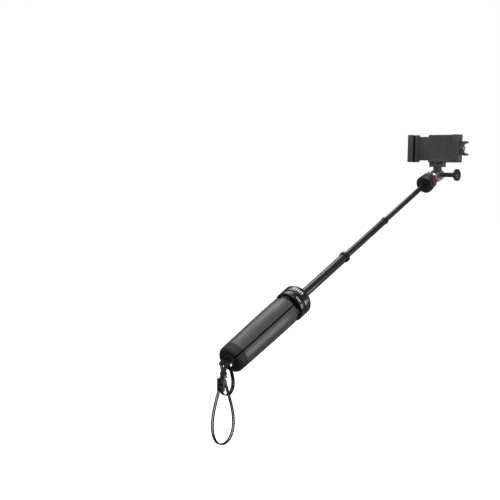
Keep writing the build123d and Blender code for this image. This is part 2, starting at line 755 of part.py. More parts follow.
# ==== phone clamp =======================================================================================
# Places are counted from the tilt hinge. The phone stands upright in front of it, screen towards -X.
PHONE_MID = -11.0
PHONE_BACK = PHONE_MID + PHONE_DEPTH / 2 + 0.15
PHONE_FRONT = PHONE_MID - PHONE_DEPTH / 2 - 0.25
PHONE_SIDE = PHONE_WIDTH / 2
JAW_LOW = 17.5
JAW_TOP = JAW_LOW + JAW_HEIGHT
JAW_MID = (JAW_LOW + JAW_TOP) / 2
COVER_BACK = PHONE_BACK + 1.6
HOUSE_BACK = 1.6
HOUSE_LEFT = 12.0         # open end of the housing, towards the sliding jaw
HOUSE_RIGHT = -35.5
HOUSE_WALL = 1.4
COVER_RIGHT = -PHONE_SIDE
PAD_SEAT = PHONE_SIDE + 2.6
RAIL_WALL = 2.2           # housing walls above and below the slide
CAVITY_LOW = JAW_LOW + RAIL_WALL
CAVITY_HEIGHT = JAW_HEIGHT - 2 * RAIL_WALL
SLOT_BACK = -2.7
ROD_R = 1.2
ROD_X = -1.5
ROD_Z = (JAW_MID - 11.5, JAW_MID + 11.5)


def slab(x_span, y_span, z):
    """Level rectangle counted from the hinge, to be extruded upwards into a block."""
    with BuildSketch(from_hinge(z=z)) as outline:
        with Locations(((x_span[0] + x_span[1]) / 2, (y_span[0] + y_span[1]) / 2)):
            Rectangle(x_span[1] - x_span[0], y_span[1] - y_span[0])
    return outline.sketch


with BuildPart() as clamp_housing:
    extrude(slab((COVER_BACK, HOUSE_BACK), (HOUSE_RIGHT, HOUSE_LEFT), JAW_LOW), amount=JAW_HEIGHT)
    fillet(clamp_housing.edges().filter_by(Axis.Y).group_by(Axis.X)[-1], 1.5)
    extrude(slab((COVER_BACK - 1, HOUSE_BACK - HOUSE_WALL), (HOUSE_RIGHT + 2, HOUSE_LEFT - 2), CAVITY_LOW),
            amount=CAVITY_HEIGHT, mode=Mode.SUBTRACT)
    # the way out for the sliding plate
    extrude(slab((COVER_BACK - 1, SLOT_BACK), (HOUSE_LEFT - 3, HOUSE_LEFT + 1), CAVITY_LOW),
            amount=CAVITY_HEIGHT, mode=Mode.SUBTRACT)
    with BuildSketch(Plane(origin=HINGE + ACROSS * (HOUSE_RIGHT + 1.0), x_dir=(1, 0, 0),
                           z_dir=(0, -1, 0))):
        for z in ROD_Z:
            with Locations((ROD_X, z)):
                Circle(ROD_R)
    extrude(amount=-(HOUSE_LEFT - HOUSE_RIGHT - 2.0), mode=Mode.SUBTRACT)
save(clamp_housing.part, "clamp_housing")

with BuildPart() as clamp_cover:
    extrude(slab((PHONE_BACK, COVER_BACK - 0.02), (COVER_RIGHT, HOUSE_LEFT), JAW_LOW), amount=JAW_HEIGHT)
    # shallow ribs that the phone's back leans on
    with BuildSketch(Plane(origin=HINGE + Vector(PHONE_BACK, 0, JAW_MID), x_dir=(0, 1, 0),
                           z_dir=(-1, 0, 0))):
        with Locations((-11.5, 0)):
            with GridLocations(5.0, 0, 8, 1):
                SlotOverall(JAW_HEIGHT - 8, 2.4, rotation=90)
    extrude(amount=-0.5, mode=Mode.SUBTRACT)
save(clamp_cover.part, "clamp_cover")

with BuildPart() as guide_rods:
    with BuildSketch(Plane(origin=HINGE + ACROSS * (HOUSE_RIGHT + 1.0), x_dir=(1, 0, 0),
                           z_dir=(0, -1, 0))):
        for z in ROD_Z:
            with Locations((ROD_X, z)):
                Circle(ROD_R)
    extrude(amount=-(HOUSE_LEFT - HOUSE_RIGHT - 2.0))
save(guide_rods.part, "guide_rods")

# The arm: a round tongue in the fork, a neck, and a plate screwed to the housing's back.
ARM_PLATE_BACK = HOUSE_BACK + 2.4
ARM_SPAN = (-11.0, 11.0)
ARM_LOW = 11.0
SCREW_R = 1.1
SCREW_HEAD = 1.2


def arm_screw_plane(height=0.0):
    """Plane on the arm plate's back, or above it, at the middle of its four screws."""
    return Plane(origin=HINGE + Vector(ARM_PLATE_BACK + height, 0, JAW_LOW + 14.0),
                 x_dir=(0, 1, 0), z_dir=(1, 0, 0))


with BuildPart() as clamp_arm:
    with BuildSketch(Plane(origin=HINGE, x_dir=(1, 0, 0), z_dir=(0, -1, 0))):
        Circle(5.8)
        with Locations(((-4.6 + ARM_PLATE_BACK) / 2, 6.0)):
            Rectangle(ARM_PLATE_BACK + 4.6, 12.0)
        Circle(BOLT_R + 0.1, mode=Mode.SUBTRACT)
    extrude(amount=TONGUE_HALF, both=True)
    extrude(slab((COVER_BACK + 0.4, ARM_PLATE_BACK), ARM_SPAN, ARM_LOW), amount=JAW_LOW - 0.05 - ARM_LOW)
    extrude(slab((HOUSE_BACK, ARM_PLATE_BACK), ARM_SPAN, ARM_LOW), amount=JAW_LOW + 30.0 - ARM_LOW)
    fillet(clamp_arm.edges().filter_by(Axis.X).group_by(Axis.Z)[-1], 4.0)
    with BuildSketch(arm_screw_plane()):
        with GridLocations(13.0, 20.0, 2, 2):
            Circle(SCREW_R)
    extrude(amount=-(ARM_PLATE_BACK - HOUSE_BACK), mode=Mode.SUBTRACT)
save(clamp_arm.part, "clamp_arm")

with BuildPart() as arm_screws:
    with BuildSketch(arm_screw_plane()):
        with GridLocations(13.0, 20.0, 2, 2):
            Circle(2.0)
    extrude(amount=SCREW_HEAD)
    fillet(arm_screws.faces().sort_by(Axis.X)[-4:].edges(), 0.4)
    with BuildSketch(arm_screw_plane(SCREW_HEAD)):
        with GridLocations(13.0, 20.0, 2, 2):
            RegularPolygon(0.95, 6)
    extrude(amount=-0.8, mode=Mode.SUBTRACT)
    with BuildSketch(arm_screw_plane()):
        with GridLocations(13.0, 20.0, 2, 2):
            Circle(SCREW_R)
    extrude(amount=-(ARM_PLATE_BACK - HOUSE_BACK))
save(arm_screws.part, "arm_screws")

# Fixed jaw, on the right: a thick side wall with a lip in front of the phone.
LIP_FRONT = PHONE_FRONT - 2.2
FIXED_OUT = -43.2
JAW_REAR = -7.6
LOCK_X = -12.2
RECESS_R = 4.2
with BuildPart() as fixed_jaw:
    with BuildSketch(from_hinge(z=JAW_LOW)):
        with BuildLine():
            Polyline(
                (LIP_FRONT, -PHONE_SIDE + 1.2),
                (LIP_FRONT, FIXED_OUT),
                (JAW_REAR, FIXED_OUT),
                (HOUSE_BACK - 0.6, HOUSE_RIGHT - 1.6),
                (HOUSE_BACK - 0.6, HOUSE_RIGHT - 0.02),
                (COVER_BACK - 0.02, HOUSE_RIGHT - 0.02),
                (COVER_BACK - 0.02, COVER_RIGHT - 0.1),
                (PHONE_BACK, COVER_RIGHT - 0.1),
                (PHONE_BACK, -PAD_SEAT),
                (PHONE_FRONT, -PAD_SEAT),
                (PHONE_FRONT, -PHONE_SIDE + 1.2),
                close=True,
            )
        make_face()
    extrude(amount=JAW_HEIGHT)
    fillet(fixed_jaw.edges().filter_by(Axis.Z).group_by(Axis.X)[0].sort_by(Axis.Y)[0], 1.2)
    # a round recess for the wing knob and the hole for its screw
    with BuildSketch(Plane(origin=HINGE + Vector(LOCK_X, FIXED_OUT, JAW_MID), x_dir=(1, 0, 0),
                           z_dir=(0, -1, 0))):
        Circle(RECESS_R)
    extrude(amount=-1.6, mode=Mode.SUBTRACT)
    with BuildSketch(Plane(origin=HINGE + Vector(LOCK_X, FIXED_OUT, JAW_MID), x_dir=(1, 0, 0),
                           z_dir=(0, -1, 0))):
        Circle(3.6)
    extrude(amount=-8.0, mode=Mode.SUBTRACT)
save(fixed_jaw.part, "fixed_jaw")

RIB_PITCH = 3.0
RIBS = 12
PAD_DEPTH = (PHONE_FRONT + 0.02, PHONE_BACK - 0.04)
with BuildPart() as fixed_jaw_pad:
    extrude(slab(PAD_DEPTH, (-PHONE_SIDE - 2.55, -PHONE_SIDE - 0.5), JAW_LOW + 1), amount=JAW_HEIGHT - 2)
    with BuildSketch(Plane(origin=HINGE + Vector(PHONE_MID, -PHONE_SIDE - 0.5, JAW_MID),
                           x_dir=(0, 0, 1), z_dir=(0, 1, 0))):
        with GridLocations(RIB_PITCH, 0, RIBS, 1):
            Rectangle(1.5, PHONE_DEPTH - 1.0)
    extrude(amount=0.4)
save(fixed_jaw_pad.part, "fixed_jaw_pad")

with BuildPart() as lock_insert:
    with BuildSketch(Plane(origin=HINGE + Vector(LOCK_X, FIXED_OUT + 1.6, JAW_MID),
                           x_dir=(1, 0, 0), z_dir=(0, -1, 0))):
        Circle(3.58)
        Circle(2.0 + RUN, mode=Mode.SUBTRACT)
    extrude(amount=-4.6)
save(lock_insert.part, "lock_insert")

# Sliding jaw, on the left, carried by a plate and two blocks that run on the rods.
SLIDE_OUT = 41.0
with BuildPart() as sliding_jaw:
    with BuildSketch(from_hinge(z=JAW_LOW)):
        with BuildLine():
            Polyline(
                (LIP_FRONT, PHONE_SIDE - 1.2),
                (LIP_FRONT, SLIDE_OUT),
                (HOUSE_BACK - 0.6, SLIDE_OUT),
                (HOUSE_BACK - 0.6, PHONE_SIDE - 3.0),
                (PHONE_BACK, PHONE_SIDE - 3.0),
                (PHONE_BACK, PHONE_SIDE + 2.4),
                (PHONE_FRONT, PHONE_SIDE + 2.4),
                (PHONE_FRONT, PHONE_SIDE - 1.2),
                close=True,
            )
        make_face()
    extrude(amount=JAW_HEIGHT)
    fillet(sliding_jaw.edges().filter_by(Axis.Z).group_by(Axis.X)[0].sort_by(Axis.Y)[-1], 1.2)
    fillet(sliding_jaw.edges().filter_by(Axis.Z).group_by(Axis.X)[-1].sort_by(Axis.Y)[-1], 1.2)
save(sliding_jaw.part, "sliding_jaw")

with BuildPart() as sliding_jaw_pad:
    extrude(slab(PAD_DEPTH, (PHONE_SIDE + 0.5, PHONE_SIDE + 2.35), JAW_LOW + 1), amount=JAW_HEIGHT - 2)
    with BuildSketch(Plane(origin=HINGE + Vector(PHONE_MID, PHONE_SIDE + 0.5, JAW_MID),
                           x_dir=(0, 0, 1), z_dir=(0, -1, 0))):
        with GridLocations(RIB_PITCH, 0, RIBS, 1):
            Rectangle(1.5, PHONE_DEPTH - 1.0)
    extrude(amount=0.4)
save(sliding_jaw_pad.part, "sliding_jaw_pad")

PLATE_FRONT = COVER_BACK + 0.2
PLATE_BACK = PLATE_FRONT + 1.4
BLOCK_Y = (-19.0, -10.0)
BLOCK_HALF = 2.4
with BuildPart() as slide_plate:
    extrude(slab((PLATE_FRONT, PLATE_BACK), (BLOCK_Y[0], PHONE_SIDE - 3.02), CAVITY_LOW + 0.4),
            amount=CAVITY_HEIGHT - 0.8)
save(slide_plate.part, "slide_plate")

with BuildPart() as slide_blocks:
    for z in ROD_Z:
        extrude(slab((PLATE_BACK, HOUSE_BACK - HOUSE_WALL - 0.1), BLOCK_Y, z - BLOCK_HALF),
                amount=2 * BLOCK_HALF)
    with BuildSketch(Plane(origin=HINGE + ACROSS * (BLOCK_Y[0] - 1), x_dir=(1, 0, 0),
                           z_dir=(0, -1, 0))):
        for z in ROD_Z:
            with Locations((ROD_X, z)):
                Circle(ROD_R + RUN)
    extrude(amount=-(BLOCK_Y[1] - BLOCK_Y[0] + 2), mode=Mode.SUBTRACT)
save(slide_blocks.part, "slide_blocks")

# Two closing springs, one on each rod, between the blocks and the housing's open end.
SPRING_R = 1.44
WIRE_R = 0.2
COILS = 9
SPRING_LONG = HOUSE_LEFT - 3.4 - BLOCK_Y[1]
with BuildPart() as jaw_springs:
    for z in ROD_Z:
        start = HINGE + Vector(ROD_X, BLOCK_Y[1] + WIRE_R + 0.1, z)
        with BuildLine() as coil:
            Helix(SPRING_LONG / COILS, SPRING_LONG - 1.0, SPRING_R, center=start, direction=(0, 1, 0))
        with BuildSketch(Plane(origin=coil.wire() @ 0, z_dir=coil.wire() % 0)):
            Circle(WIRE_R)
        sweep(path=coil.wire(), is_frenet=True)
save(jaw_springs.part, "jaw_springs")

# Wing lock: a screw through the fixed jaw that presses its pad, and a two-winged knob.
WING_NEAR = FIXED_OUT + 1.3
with BuildPart() as lock_screw:
    with BuildSketch(Plane(origin=HINGE + Vector(LOCK_X, -PHONE_SIDE - 2.7, JAW_MID),
                           x_dir=(1, 0, 0), z_dir=(0, -1, 0))):
        Circle(2.0)
    extrude(amount=10.4)
save(lock_screw.part, "lock_screw")

WING_HALF = 10.0
BOSS_R = 3.8
BOSS_LONG = 6.6
WING_REACH = 12.6
WING_THICK = 4.6
with BuildPart() as wing_knob:
    knob_plane = Plane(origin=HINGE + Vector(LOCK_X, WING_NEAR, JAW_MID), x_dir=(1, 0, 0),
                       z_dir=(0, -1, 0))
    with BuildSketch(knob_plane):
        Circle(BOSS_R)
    extrude(amount=BOSS_LONG)
    with BuildSketch(Plane(origin=HINGE + Vector(LOCK_X, WING_NEAR, JAW_MID), x_dir=(0, 0, 1),
                           z_dir=(1, 0, 0))):
        for side in (-1, 1):
            with BuildLine():
                Polyline(
                    (side * 2.0, 1.6),
                    (side * 6.0, 1.8),
                    (side * 9.0, 3.6),
                    (side * WING_HALF, 6.4),
                    (side * WING_HALF, WING_REACH - 1.0),
                    (side * 8.8, WING_REACH),
                    (side * 7.2, WING_REACH - 1.0),
                    (side * 6.4, 8.0),
                    (side * 5.0, BOSS_LONG - 0.6),
                    (side * 2.0, BOSS_LONG - 0.6),
                    close=True,
                )
            make_face()
    extrude(amount=WING_THICK / 2, both=True)
    with BuildSketch(knob_plane):
        Circle(2.0)
    extrude(amount=4.9, mode=Mode.SUBTRACT)
save(wing_knob.part, "wing_knob")

with BuildPart() as wing_cap:
    with BuildSketch(Plane(origin=HINGE + Vector(LOCK_X, WING_NEAR - BOSS_LONG, JAW_MID),
                           x_dir=(1, 0, 0), z_dir=(0, -1, 0))):
        Circle(2.9)
    extrude(amount=0.9)
    fillet(wing_cap.faces().sort_by(Axis.Y)[0].edges(), 0.6)
save(wing_cap.part, "wing_cap")

print("hinge", tuple(round(v, 3) for v in HINGE), "ball", tuple(round(v, 3) for v in BALL_CENTRE))
print("eye", tuple(round(v, 3) for v in EYE))
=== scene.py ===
# %% [markdown]
# # A selfie stick in Blender
# The stick is a telescopic pole with a folding three-leg grip at one end and a phone clamp at the
# other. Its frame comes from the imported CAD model, which already has every piece at its real size.
# The lesson dresses that frame: turned rings, rounded mouldings, a knurled knob, a braided wrist cord
# and woven webbing, each with a material made from nodes.

import json
from math import cos, pi, radians, sin

import bmesh
import bpy
from mathutils import Matrix, Vector


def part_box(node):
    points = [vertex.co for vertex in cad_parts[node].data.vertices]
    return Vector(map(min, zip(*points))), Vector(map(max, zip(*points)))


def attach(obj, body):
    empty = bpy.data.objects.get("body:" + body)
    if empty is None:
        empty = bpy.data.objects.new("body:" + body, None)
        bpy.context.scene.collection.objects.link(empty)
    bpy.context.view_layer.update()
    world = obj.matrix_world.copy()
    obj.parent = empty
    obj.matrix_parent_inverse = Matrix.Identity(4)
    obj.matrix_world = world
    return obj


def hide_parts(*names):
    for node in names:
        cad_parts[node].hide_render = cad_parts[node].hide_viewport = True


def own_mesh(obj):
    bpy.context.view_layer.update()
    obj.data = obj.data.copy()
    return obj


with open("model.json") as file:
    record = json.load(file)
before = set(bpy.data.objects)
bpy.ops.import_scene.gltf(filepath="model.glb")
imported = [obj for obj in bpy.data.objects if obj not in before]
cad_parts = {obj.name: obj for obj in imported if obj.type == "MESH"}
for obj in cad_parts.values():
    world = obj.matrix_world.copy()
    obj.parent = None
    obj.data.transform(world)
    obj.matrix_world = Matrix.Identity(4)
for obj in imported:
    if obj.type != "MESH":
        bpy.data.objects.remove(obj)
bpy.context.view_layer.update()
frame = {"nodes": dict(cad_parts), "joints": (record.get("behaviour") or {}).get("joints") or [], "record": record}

# %% [markdown]
# ## Where things are
# Every turned piece sits on one of three lines: the pole, the ball head just above it, and the tilt
# hinge that crosses the head. The joints of the frame already say where those lines run, so the script
# asks them instead of repeating numbers. Each place is a matrix whose Z is the line to turn about, and
# shapes are drawn in millimetres, the unit a maker would use.

# %% Places taken from the joints
MM = 0.001
joints = {joint["name"]: joint for joint in frame["joints"]}
ALONG = Vector(joints["stage_a_slide"]["axis"])
BALL = Vector(joints["ball_tilt"]["pos_m"])
HINGE = Vector(joints["clamp_tilt"]["pos_m"])
ACROSS = Vector((0, 1, 0))


def place(origin, up, beside):
    """Matrix that puts a shape drawn in millimetres at origin, its Z along up and its X beside."""
    up, beside = up.normalized(), beside.normalized()
    turn = Matrix((beside, up.cross(beside), up)).transposed().to_4x4()
    return Matrix.Translation(origin) @ turn @ Matrix.Scale(MM, 4)


POLE = place(Vector(), ALONG, ACROSS)
HEAD = place(BALL, HINGE - BALL, ACROSS)
SIDE = place(HINGE, -ACROSS, Vector((1, 0, 0)))
strap_low, strap_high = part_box("strap_pin")
EYE = (strap_low + strap_high) / 2
print("ball", BALL, "hinge", HINGE, "strap pin", EYE)

# %% [markdown]
# ## The camera
# The stick is seen from low down and from its grip side, with a long lens, so that its lines hardly
# converge. The camera is given as an aim point, a direction, a distance and a slight roll.

# %% Camera
AIM = Vector((0.1944, 0.1957, 0.0723))
CAMERA_DISTANCE = 1.504
CAMERA_AZIMUTH = -48.96
CAMERA_ELEVATION = 4.10
CAMERA_ROLL = 1.05
LENS_MM = 75.6

camera = bpy.data.objects.new("camera", bpy.data.cameras.new("camera"))
bpy.context.scene.collection.objects.link(camera)
bpy.context.scene.camera = camera
camera.data.lens = LENS_MM
camera.data.sensor_width = 36.0
azimuth, elevation = radians(CAMERA_AZIMUTH), radians(CAMERA_ELEVATION)
back = Vector((sin(azimuth) * cos(elevation), -cos(azimuth) * cos(elevation), sin(elevation)))
right = Vector((cos(azimuth), sin(azimuth), 0))
view_turn = Matrix((right, back.cross(right), back)).transposed().to_4x4()
camera.matrix_world = (
    Matrix.Translation(AIM + back * CAMERA_DISTANCE) @ view_turn @ Matrix.Rotation(radians(CAMERA_ROLL), 4, "Z")
)
print("camera at", camera.matrix_world.translation)

# %% [markdown]
# ## One recipe for finishes
# Moulded plastic, anodised tube and cast metal differ in colour, gloss and grain, but each is a base
# colour that wanders a little, a roughness that wanders with it, and a fine bump. So one function
# builds that node tree, and each finish below is a few plain numbers. Sizes are in millimetres: noise
# scale is its inverse. Fixed numbers, such as the coat, go straight on the shader's own sockets.

# %% The finish recipe
def wire(tree, source, output, target, socket):
    """Join one node's output to another node's input."""
    tree.links.new(source.outputs[output], target.inputs[socket])


def noise(tree, coordinates, size_mm, detail):
    """Noise whose blobs are about size_mm across."""
    node = tree.nodes.new("ShaderNodeTexNoise")
    node.inputs["Scale"].default_value = 1 / (size_mm * MM)
    node.inputs["Detail"].default_value = detail
    tree.links.new(coordinates, node.inputs["Vector"])
    return node


def finish(name, dark, light, rough, grain_mm, depth_mm, metal=0.0, patch_mm=14.0, stretch=None,
           wear=None, sheen=0.0, coat=0.0, specular=0.5):
    """Make a material: two close colours in patches, wandering gloss, fine grain, worn edges."""
    material = bpy.data.materials.new(name)
    material.use_nodes = True
    tree = material.node_tree
    shader = tree.nodes["Principled BSDF"]
    shader.inputs["Metallic"].default_value = metal
    shader.inputs["Sheen Weight"].default_value = sheen
    shader.inputs["Coat Weight"].default_value = coat
    shader.inputs["Specular IOR Level"].default_value = specular
    place_node = tree.nodes.new("ShaderNodeTexCoord")
    mapping = tree.nodes.new("ShaderNodeMapping")
    wire(tree, place_node, "Object", mapping, "Vector")
    patches = noise(tree, mapping.outputs["Vector"], patch_mm, 3.0)
    blend = tree.nodes.new("ShaderNodeMix")
    blend.data_type = "RGBA"
    blend.inputs["A"].default_value = (*dark, 1)
    blend.inputs["B"].default_value = (*light, 1)
    wire(tree, patches, "Fac", blend, "Factor")
    colour = blend.outputs["Result"]
    if wear:
        geometry = tree.nodes.new("ShaderNodeNewGeometry")
        edges = tree.nodes.new("ShaderNodeMapRange")
        edges.inputs["From Min"].default_value = 0.53
        edges.inputs["From Max"].default_value = 0.62
        edges.inputs["To Max"].default_value = 0.7
        wire(tree, geometry, "Pointiness", edges, "Value")
        rubbed = tree.nodes.new("ShaderNodeMix")
        rubbed.data_type = "RGBA"
        rubbed.inputs["B"].default_value = (*wear, 1)
        wire(tree, edges, "Result", rubbed, "Factor")
        tree.links.new(colour, rubbed.inputs["A"])
        colour = rubbed.outputs["Result"]
    tree.links.new(colour, shader.inputs["Base Color"])
    gloss = noise(tree, mapping.outputs["Vector"], patch_mm / 4, 4.0)
    roughness = tree.nodes.new("ShaderNodeMapRange")
    roughness.inputs["To Min"].default_value = max(rough - 0.09, 0.03)
    roughness.inputs["To Max"].default_value = rough + 0.09
    wire(tree, gloss, "Fac", roughness, "Value")
    wire(tree, roughness, "Result", shader, "Roughness")
    grain_place = tree.nodes.new("ShaderNodeMapping")
    wire(tree, place_node, "Object", grain_place, "Vector")
    if stretch:
        grain_place.inputs["Rotation"].default_value = stretch["turn"]
        grain_place.inputs["Scale"].default_value = stretch["scale"]
    grain = noise(tree, grain_place.outputs["Vector"], grain_mm, 2.0)
    bump = tree.nodes.new("ShaderNodeBump")
    bump.inputs["Strength"].default_value = 0.8
    bump.inputs["Distance"].default_value = depth_mm * MM
    wire(tree, grain, "Fac", bump, "Height")
    wire(tree, bump, "Normal", shader, "Normal")
    return material


# %% [markdown]
# ## The finishes of this stick
# The tubes are black anodised aluminium, drawn lengthways, so their grain is long streaks along the
# pole: a Mapping node turns the pattern to the pole's slope and stretches it. Mouldings have a
# spark-eroded grain, rubber is finer and duller, and the two rings in the head are satin red paint.

# %% Finishes by slot
POLE_SLOPE = ALONG.angle(Vector((1, 0, 0)))
lengthways = {"turn": (0, POLE_SLOPE, 0), "scale": (0.04, 1, 1)}
FINISHES = {
    "tube_black": finish("anodised_tube", (0.006, 0.0055, 0.0058), (0.013, 0.012, 0.0125), 0.32, 0.30, 0.012,
                         patch_mm=22, stretch=lengthways, coat=0.15),
    "leg_grey": finish("leg_moulding", (0.045, 0.046, 0.048), (0.075, 0.075, 0.078), 0.42, 0.35, 0.03,
                       patch_mm=18),
    "collar_black": finish("collar_moulding", (0.007, 0.007, 0.0075), (0.014, 0.014, 0.0145), 0.24, 0.40, 0.014,
                           patch_mm=10, wear=(0.10, 0.10, 0.10)),
    "frame_black": finish("frame_moulding", (0.014, 0.014, 0.015), (0.024, 0.024, 0.025), 0.48, 0.30, 0.03),
    "head_black": finish("head_moulding", (0.009, 0.009, 0.009), (0.020, 0.020, 0.020), 0.36, 0.35, 0.03,
                         patch_mm=3, wear=(0.12, 0.12, 0.12)),
    "accent_red": finish("red_satin", (0.085, 0.014, 0.018), (0.145, 0.024, 0.030), 0.34, 0.25, 0.008,
                         patch_mm=5, coat=0.3),
    "fork_grey": finish("cast_alloy", (0.42, 0.43, 0.41), (0.58, 0.59, 0.57), 0.36, 0.30, 0.03, metal=1.0,
                        patch_mm=4),
    "clamp_black": finish("clamp_moulding", (0.050, 0.050, 0.051), (0.080, 0.080, 0.081), 0.46, 0.42, 0.05,
                          patch_mm=9),
    "rubber_black": finish("soft_rubber", (0.012, 0.012, 0.012), (0.022, 0.022, 0.022), 0.66, 0.22, 0.03,
                           patch_mm=6, specular=0.35),
    "steel": finish("bright_steel", (0.52, 0.52, 0.53), (0.62, 0.62, 0.63), 0.22, 0.18, 0.006, metal=1.0,
                    patch_mm=3),
    "dark_steel": finish("blackened_steel", (0.030, 0.030, 0.032), (0.055, 0.055, 0.058), 0.33, 0.2, 0.01,
                         metal=0.6, patch_mm=4, wear=(0.2, 0.2, 0.2)),
    "brass": finish("turned_brass", (0.55, 0.40, 0.17), (0.68, 0.50, 0.23), 0.27, 0.2, 0.006, metal=1.0,
                    patch_mm=3),
    "cord_black": finish("cord_fibre", (0.010, 0.010, 0.011), (0.034, 0.034, 0.036), 0.72, 0.12, 0.05,
                         patch_mm=1.2, sheen=0.06, specular=0.3),
    "webbing_black": finish("webbing_fibre", (0.011, 0.011, 0.012), (0.032, 0.032, 0.034), 0.7, 0.10, 0.05,
                            patch_mm=0.9, sheen=0.05, specular=0.3),
}
# White for the printed lock marks, and for the painted reflection bars on the rear sleeve.
PRINT_AND_REFLECTION_WHITE = finish("pad_print_and_painted_reflection", (0.72, 0.72, 0.71), (0.82, 0.82, 0.81), 0.45, 0.2, 0.004, patch_mm=2)

slot_of = {part["node"]: part["material_slot"] for part in frame["record"]["subparts"]}
for node, obj in frame["nodes"].items():
    obj.data.materials.clear()
    obj.data.materials.append(FINISHES[slot_of[node]])
print(len(FINISHES), "finishes on", len(frame["nodes"]), "CAD nodes")

# %% [markdown]
# ## From a bmesh to a piece
# Every new piece goes through the same last steps: doubles merged, normals turned outwards, the shape
# moved to its place, smooth shading broken only at real edges. Then the piece is hung on the empty of
# the body it rides on and takes the finish of its slot, and the plain CAD solid it stands for is hidden.

# %% Hand over a piece
body_of = {node: body for body, nodes in frame["record"]["behaviour"]["bodies"].items() for node in nodes}
SHARP_ANGLE = 32.0


def hand_over(name, shape, where, node, slot=None, stands_for=True):
    """Make a piece from a bmesh drawn in millimetres: placed, shaded, and riding with its CAD node."""
    bmesh.ops.remove_doubles(shape, verts=shape.verts, dist=0.002)
    bmesh.ops.recalc_face_normals(shape, faces=shape.faces)
    shape.transform(where)
    return hand_over_placed(name, shape, node, slot, stands_for)


def hand_over_placed(name, shape, node, slot=None, stands_for=True):
    """The same for a bmesh that is already in place, in metres."""
    mesh = bpy.data.meshes.new(name)
    shape.to_mesh(mesh)
    shape.free()
    mesh.shade_smooth()
    mesh.set_sharp_from_angle(angle=radians(SHARP_ANGLE))
    slot = slot or slot_of[node]
    mesh.materials.append(FINISHES[slot])
    piece = bpy.data.objects.new(name, mesh)
    bpy.context.scene.collection.objects.link(piece)
    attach(piece, body_of[node])
    if stands_for:
        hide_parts(node)
    print(name, len(mesh.polygons), "faces for", node)
    return piece


# %% [markdown]
# ## Turned pieces
# Most of the stick comes off a lathe or out of a round mould. A few vertices draw half of a section,
# a vertex bevel rounds its corners, and one full spin makes the solid. Rounding the outline before
# the spin is cheap, and it gives every ring the thin highlight that tells the eye it is a real edge.

# %% Turn an outline
TURN_STEPS = 96


def turned(outline, soften=0.0, closed=True, steps=TURN_STEPS):
    """Spin an outline of (radius, height) points about Z, its corners rounded by soften."""
    shape = bmesh.new()
    points = [shape.verts.new((radius, 0, height)) for radius, height in outline]
    pairs = list(zip(points, points[1:]))
    if closed:
        pairs.append((points[-1], points[0]))
    for pair in pairs:
        shape.edges.new(pair)
    corners = [point for point in points if len(point.link_edges) == 2 and point.co.x > 0.01]
    if soften:
        bmesh.ops.bevel(shape, geom=corners, offset=soften, offset_type="OFFSET", affect="VERTICES",
                        segments=3, profile=0.5, clamp_overlap=True, material=-1)
    bmesh.ops.spin(shape, geom=shape.verts[:] + shape.edges[:], axis=(0, 0, 1), cent=(0, 0, 0),
                   steps=steps, angle=2 * pi, use_merge=True)
    bmesh.ops.remove_doubles(shape, verts=shape.verts, dist=0.002)
    return shape


def band(shape, low, high, radius):
    """Faces of a turned shape that look outwards between two heights, beyond a radius."""
    shape.normal_update()
    found = []
    for face in shape.faces:
        middle = face.calc_center_median()
        if low < middle.z < high and middle.xy.length > radius and abs(face.normal.z) < 0.5:
            found.append(face)
    return found


# %% [markdown]
# ### The grip's collar
# Two rings meet here. The rear sleeve covers the legs' hinges. The front ring turns to lock the pole,
# and its front edge is a broad chamfer. Between them is a fine dark joint.

# %% Collar sleeve and lock ring
sleeve = turned([(16.5, 47.3), (18.5, 47.3), (19.5, 48.3), (19.5, 54.6), (19.0, 55.2), (16.5, 55.2)], 0.35)
hand_over("collar_rear_sleeve", sleeve, POLE, "collar_sleeve")

front = turned([(14.2, 55.8), (18.9, 55.8), (19.5, 56.4), (19.5, 65.9), (17.2, 69.5), (16.5, 70.0), (10.4, 70.0),
                (8.1, 69.2), (8.1, 67.75), (15.55, 67.75), (15.55, 65.85), (14.2, 65.85)], 0.3)
hand_over("collar_lock_ring", front, POLE, "lock_ring")

# %% [markdown]
# Both rings carry short raised white bars. Five on the front ring show which way it locks; they are plain
# marks, not lettering. The four smaller ones behind, on the rear sleeve, are a painted reflection: white
# bars put where a bright reflection falls on the sleeve. Each bar is a thin rounded block laid on the ring
# and turned round the pole.

# %% Lock marks and painted reflection bars on the two rings
def white_ring_bars(name, node, count, step, middle, height, bar):
    """Raised bars in a row round a ring: bar is (depth, width, length) in millimetres."""
    bars = bmesh.new()
    for index in range(count):
        turn = Matrix.Rotation(radians(middle + (index - (count - 1) / 2) * step), 4, "Z")
        spot = turn @ Matrix.Translation((19.45, 0, height))
        bmesh.ops.create_cube(bars, size=1, matrix=spot @ Matrix.Diagonal((*bar, 1)))
    bmesh.ops.bevel(bars, geom=bars.edges[:], offset=0.07, offset_type="OFFSET", affect="EDGES", segments=2,
                    profile=0.5, clamp_overlap=True, material=-1)
    marks = hand_over(name, bars, POLE, node, stands_for=False)
    marks.data.materials[0] = PRINT_AND_REFLECTION_WHITE


white_ring_bars("lock_marks", "lock_ring", 5, 8.5, 122.0, 61.4, (0.34, 1.5, 4.2))
# Painted reflection: four white bars where a bright reflection falls on the rear sleeve.
white_ring_bars("sleeve_painted_reflection", "collar_sleeve", 4, 6.5, 146.0, 51.2, (0.34, 1.0, 2.4))

# %% [markdown]
# ### The telescopic tubes
# Three drawn tubes slide in each other. Each is a thin ring of section spun round the pole, with a
# bright-free rounded end, and each ends in a bush with a shoulder that the thumb can feel.

# %% Tubes, flange and lip
for node, inner, outer, low, high in (
    ("tube_a", 5.1, 5.7, 44.0, 175.0),
    ("tube_b", 3.9, 4.4, 152.0, 274.0),
    ("tube_c", 2.85, 3.45, 250.0, 385.0),
):
    tube = turned([(inner, low), (outer, low), (outer, high), (inner, high)], 0.12)
    hand_over("drawn_" + node, tube, POLE, node)

